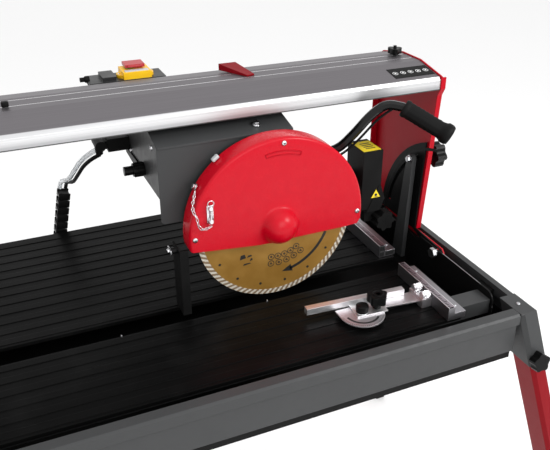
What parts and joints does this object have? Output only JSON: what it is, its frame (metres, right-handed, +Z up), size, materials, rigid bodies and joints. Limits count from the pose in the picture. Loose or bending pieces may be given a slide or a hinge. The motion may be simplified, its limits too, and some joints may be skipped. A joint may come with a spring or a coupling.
{
  "type": "bridge tile saw",
  "caption": "Wet bridge tile saw on splayed legs: a motor carriage with a guarded diamond blade rolls along a tilting bridge over a ribbed slotted table.",
  "frame": {"origin": "on the floor, at the middle of the base frame", "axes": "+X along the bridge to the operator's right, +Y to the back of the machine, +Z up"},
  "size_m": [1.817, 0.994, 1.2893],
  "materials": {
    "frame_grey": "satin powder coat",
    "red_paint": "satin red paint",
    "black_knob": "fine-textured moulding",
    "tray_black": "moulded tub",
    "table_black": "satin black coat",
    "black_metal": "satin black coat",
    "aluminium": "brushed, anodised",
    "steel": "turned",
    "blade_gold": "gold lacquer over steel",
    "motor_black": "black-painted die casting",
    "handle_black": "gloss black coat",
    "black_plastic": "fine-textured moulding",
    "grip_foam": "soft foam sleeve",
    "flap_rubber": "flat sheet",
    "clear_hose": "clear flexible hose",
    "cable_black": "cable sheath",
    "switch_yellow": "moulded",
    "switch_red": "moulded",
    "switch_green": "moulded"
  },
  "bodies": {
    "frame": {"front_rail": "frame_grey", "rear_rail": "frame_grey", "left_rail": "frame_grey", "right_rail": "frame_grey", "leg_socket_front_left": "frame_grey", "leg_socket_rear_left": "frame_grey", "leg_socket_front_right": "frame_grey", "leg_socket_rear_right": "frame_grey", "leg_front_left": "red_paint", "leg_rear_left": "red_paint", "leg_front_right": "red_paint", "leg_rear_right": "red_paint", "water_tray": "tray_black", "water_pump": "tray_black", "front_table": "table_black", "rear_table": "table_black", "front_support": "frame_grey", "rear_support": "frame_grey", "side_plate_left": "black_metal", "side_plate_right": "black_metal", "tilt_post_left": "frame_grey", "tilt_post_right": "frame_grey", "front_rule": "aluminium", "rear_rule": "aluminium"},
    "bridge": {"bridge_rail": "aluminium", "column_left": "red_paint", "column_right": "red_paint", "sector_left": "black_metal", "sector_right": "black_metal"},
    "carriage": {"carriage_housing": "frame_grey", "motor": "motor_black", "laser_unit": "black_plastic", "blade_guard": "red_paint", "handle_tube": "handle_black", "handle_grip": "grip_foam", "switch_body": "switch_yellow", "cable_clamp": "black_plastic", "water_hose": "clear_hose", "motor_cable": "cable_black", "cable_chain": "black_plastic"},
    "spindle": {"arbor": "steel", "blade": "blade_gold"},
    "roller_left": {"wheelset_left": "steel"},
    "roller_right": {"wheelset_right": "steel"},
    "flap": {"splash_flap": "flap_rubber"},
    "cover": {"switch_cover": "switch_red"},
    "start_button": {"start_button": "switch_green"},
    "stop_button": {"stop_button": "switch_red"},
    "rail_stop": {"rail_stop": "red_paint"},
    "lock_knob": {"lock_knob": "black_knob"},
    "carriage_lock": {"carriage_lock": "black_knob"},
    "tilt_knob_left": {"tilt_knob_left": "black_knob"},
    "tilt_knob_right": {"tilt_knob_right": "black_knob"},
    "angle_stop": {"protractor": "aluminium"},
    "stop_bar": {"stop_bar": "aluminium"},
    "stop_knob": {"stop_knob": "black_knob"},
    "leg_knob_front_left": {"leg_knob_front_left": "black_knob"},
    "leg_knob_rear_left": {"leg_knob_rear_left": "black_knob"},
    "leg_knob_front_right": {"leg_knob_front_right": "black_knob"},
    "leg_knob_rear_right": {"leg_knob_rear_right": "black_knob"}
  },
  "joints": [
    {"name": "bridge_tilt", "type": "hinge", "parent": "frame", "child": "bridge", "pos_m": [0, -0.073, 0.9], "axis": [1, 0, 0], "range_deg": [0, 45]},
    {"name": "carriage_slide", "type": "slide", "parent": "bridge", "child": "carriage", "axis": [1, 0, 0], "range_m": [-0.6, 0.11]},
    {"name": "blade_spin", "type": "hinge", "parent": "carriage", "child": "spindle", "pos_m": [0.292, -0.073, 1.047], "axis": [0, 1, 0], "continuous": true},
    {"name": "roller_left_turn", "type": "hinge", "parent": "carriage", "child": "roller_left", "pos_m": [0.162, 0.093, 1.2423], "axis": [0, 1, 0], "continuous": true},
    {"name": "roller_right_turn", "type": "hinge", "parent": "carriage", "child": "roller_right", "pos_m": [0.272, 0.093, 1.2423], "axis": [0, 1, 0], "continuous": true},
    {"name": "flap_slide", "type": "slide", "parent": "carriage", "child": "flap", "axis": [0, 0, 1], "range_m": [0, 0.04]},
    {"name": "cover_flip", "type": "hinge", "parent": "carriage", "child": "cover", "pos_m": [0.127, 0.2675, 1.271], "axis": [-1, 0, 0], "range_deg": [0, 100]},
    {"name": "start_press", "type": "slide", "parent": "carriage", "child": "start_button", "axis": [0, 0, -1], "range_m": [0, 0.0025], "stiffness_N_per_m": 350, "springref_m": -0.0015},
    {"name": "stop_press", "type": "slide", "parent": "carriage", "child": "stop_button", "axis": [0, 0, -1], "range_m": [0, 0.0025], "stiffness_N_per_m": 350, "springref_m": -0.0015},
    {"name": "rail_stop_slide", "type": "slide", "parent": "bridge", "child": "rail_stop", "axis": [1, 0, 0], "range_m": [-0.8, 0.28]},
    {"name": "lock_knob_turn", "type": "hinge", "parent": "bridge", "child": "lock_knob", "pos_m": [0.637, 0.115, 1.27], "axis": [0, 0, 1], "continuous": true},
    {"name": "carriage_lock_turn", "type": "hinge", "parent": "carriage", "child": "carriage_lock", "pos_m": [0.092, 0.068, 1.129], "axis": [1, 0, 0], "continuous": true},
    {"name": "tilt_knob_left_turn", "type": "hinge", "parent": "frame", "child": "tilt_knob_left", "pos_m": [-0.697, 0.037, 1.068], "axis": [1, 0, 0], "continuous": true},
    {"name": "tilt_knob_right_turn", "type": "hinge", "parent": "frame", "child": "tilt_knob_right", "pos_m": [0.697, 0.037, 1.068], "axis": [1, 0, 0], "continuous": true},
    {"name": "leg_knob_front_left_turn", "type": "hinge", "parent": "frame", "child": "leg_knob_front_left", "pos_m": [-0.702, -0.3396, 0.802], "axis": [0, -0.9806, 0.1961], "continuous": true},
    {"name": "leg_knob_rear_left_turn", "type": "hinge", "parent": "frame", "child": "leg_knob_rear_left", "pos_m": [-0.702, 0.3396, 0.802], "axis": [0, 0.9806, 0.1961], "continuous": true},
    {"name": "leg_knob_front_right_turn", "type": "hinge", "parent": "frame", "child": "leg_knob_front_right", "pos_m": [0.702, -0.3396, 0.802], "axis": [0, -0.9806, 0.1961], "continuous": true},
    {"name": "leg_knob_rear_right_turn", "type": "hinge", "parent": "frame", "child": "leg_knob_rear_right", "pos_m": [0.702, 0.3396, 0.802], "axis": [0, 0.9806, 0.1961], "continuous": true},
    {"name": "angle_stop_slide", "type": "slide", "parent": "frame", "child": "angle_stop", "axis": [0, 1, 0], "range_m": [-0.045, 0.008]},
    {"name": "stop_bar_pivot", "type": "hinge", "parent": "angle_stop", "child": "stop_bar", "pos_m": [0.397, -0.215, 0.9], "axis": [0, 0, 1], "range_deg": [-45, 45]},
    {"name": "stop_knob_turn", "type": "hinge", "parent": "stop_bar", "child": "stop_knob", "pos_m": [0.42819, -0.2129, 0.9133], "axis": [0, 0, 1], "continuous": true}
  ],
  "couplings": [
    {"joint": "roller_left_turn", "follows": "carriage_slide", "rad_per_m": 111.11},
    {"joint": "roller_right_turn", "follows": "carriage_slide", "rad_per_m": 111.11}
  ]
}
